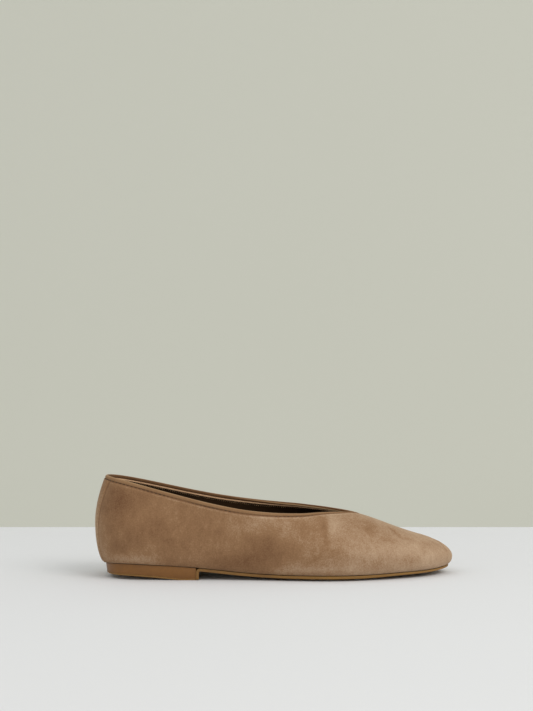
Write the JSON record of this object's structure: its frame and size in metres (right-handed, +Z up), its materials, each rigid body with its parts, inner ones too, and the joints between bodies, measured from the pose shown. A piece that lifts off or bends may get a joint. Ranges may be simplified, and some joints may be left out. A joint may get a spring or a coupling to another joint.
{
  "type": "ballet flat",
  "caption": "Low ballet flat with a rounded almond toe, a bound topline dipping to a pointed throat, a thin sole and a low stacked heel under a suede upper.",
  "frame": {"origin": "middle of the shoe's bounding box, on the floor it stands on", "axes": "+X from the heel to the toe, +Y to the inner side of the foot, +Z up"},
  "size_m": [0.253, 0.0832, 0.0707],
  "materials": {
    "suede": "tan suede, brushed nap",
    "binding": "tan suede, folded round the edge",
    "back_strip": "tan suede strip",
    "sock": "dark brown sock lining, matte",
    "sole": "tan sole leather, satin",
    "heel": "stacked heel leather, satin",
    "top_piece": "tan walking piece, matte"
  },
  "bodies": {
    "root": {"upper": "suede", "topline_binding": "binding", "back_strip": "back_strip", "insole": "sock", "outsole": "sole", "heel_block": "heel", "top_piece": "top_piece"}
  },
  "joints": []
}
